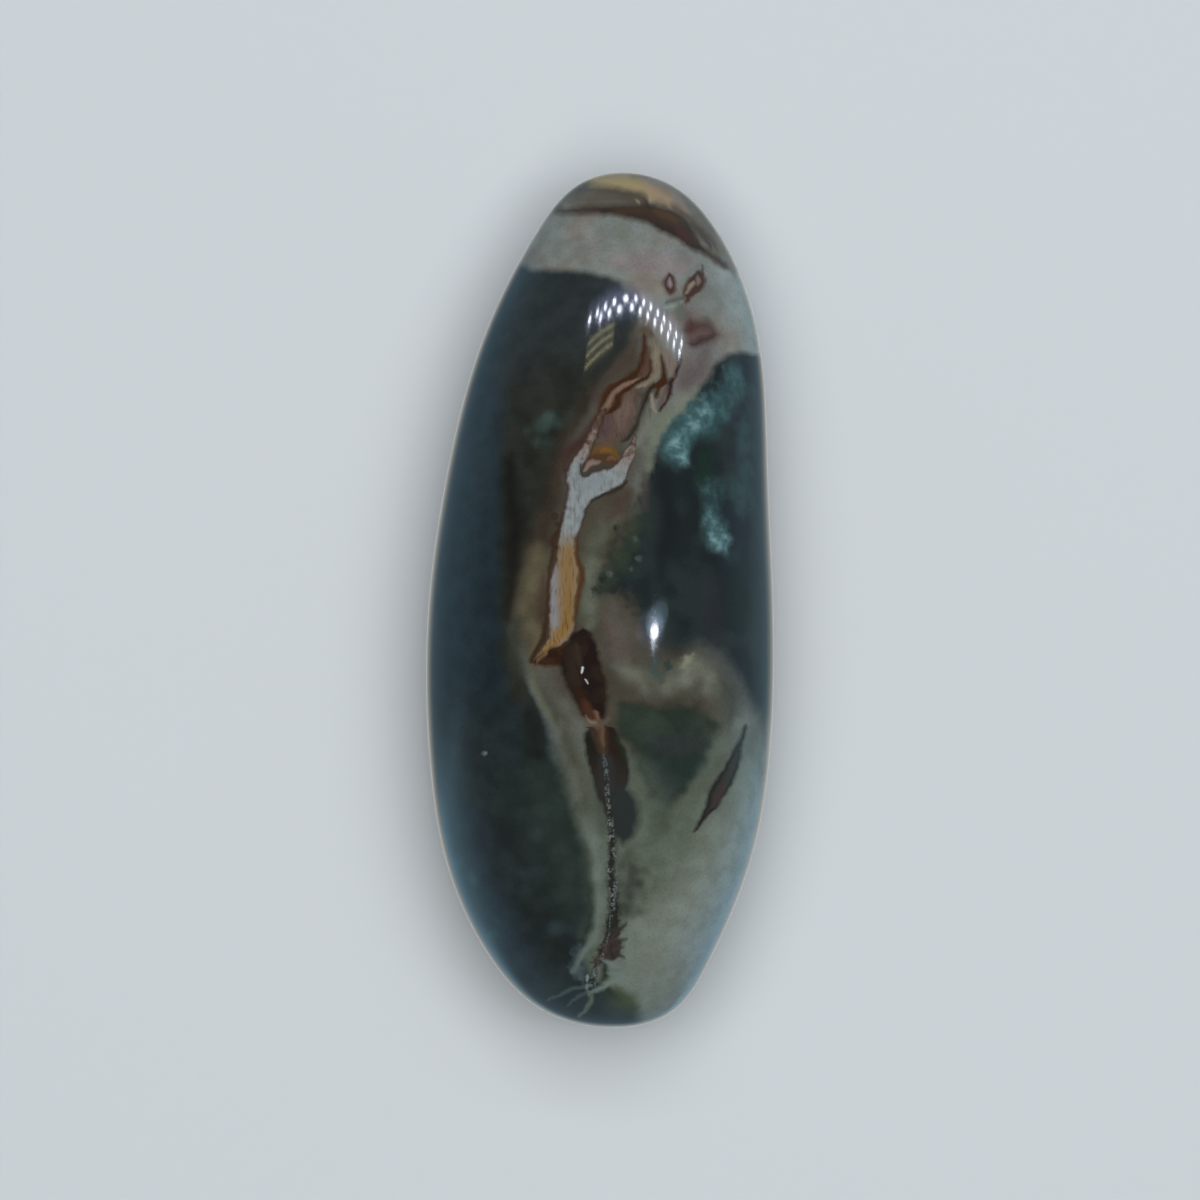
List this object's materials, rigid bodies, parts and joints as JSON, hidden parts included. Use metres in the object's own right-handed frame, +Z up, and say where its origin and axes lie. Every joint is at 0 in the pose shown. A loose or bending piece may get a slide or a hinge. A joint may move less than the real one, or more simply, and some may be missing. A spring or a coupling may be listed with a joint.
{
  "type": "polished polychrome jasper freeform",
  "caption": "Long pebble-shaped freeform of polished polychrome jasper, dark green and grey with a brown and white vein, lying on a small ground flat.",
  "frame": {"origin": "under the middle of the stone's own box, in the plane of the resting flat", "axes": "+Y along the stone from its blunt foot to its narrow head, +X across it to the right as seen from above, +Z up from the resting flat"},
  "size_m": [0.057, 0.14, 0.042],
  "materials": {
    "polished_jasper": "opaque to faintly translucent chalcedony, lapped to a mirror polish all over"
  },
  "bodies": {
    "root": {"stone": "polished_jasper"}
  },
  "joints": []
}
